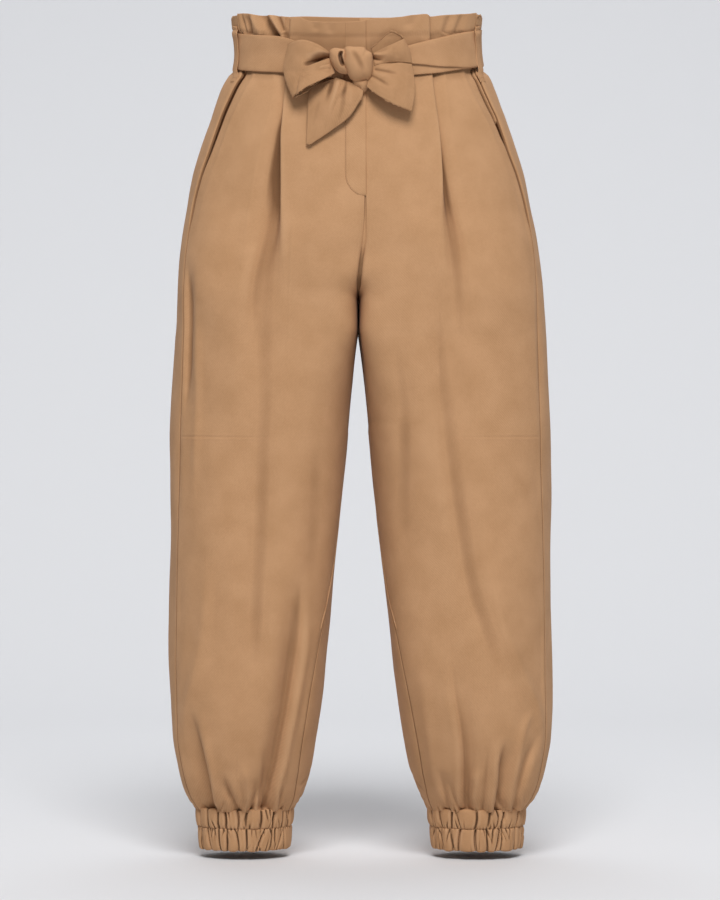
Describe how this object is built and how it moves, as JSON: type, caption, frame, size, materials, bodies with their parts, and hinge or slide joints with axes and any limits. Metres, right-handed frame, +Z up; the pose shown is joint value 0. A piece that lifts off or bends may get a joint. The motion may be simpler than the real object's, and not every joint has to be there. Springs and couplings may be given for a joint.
{
  "type": "joggers",
  "caption": "Paper-bag waist joggers in plain woven cloth, hollow as when worn, with a tied belt, front pleats, slant pockets, a lapped fly and gathered elastic cuffs.",
  "frame": {"origin": "middle of the waist, level with the middle of the belt over the front pleats, where the wearer holds the joggers up", "axes": "+Z up towards the waist opening, -Y towards the fly at the front, +X towards the wearer's left leg"},
  "size_m": [0.4542, 0.2436, 0.9981],
  "materials": {
    "crepe": "matt camel crepe, fine twill face"
  },
  "bodies": {
    "root": {"front_right": "crepe", "front_left": "crepe", "back_right": "crepe", "back_left": "crepe", "cuff_right": "crepe", "cuff_left": "crepe", "belt_band": "crepe", "pocket_facing_right": "crepe", "pocket_facing_left": "crepe", "belt_carrier_right": "crepe", "belt_carrier_left": "crepe", "fly_placket": "crepe", "bow_knot": "crepe", "bow_loop_right": "crepe", "bow_loop_left": "crepe", "tie_end_right": "crepe", "tie_end_left": "crepe"}
  },
  "joints": []
}
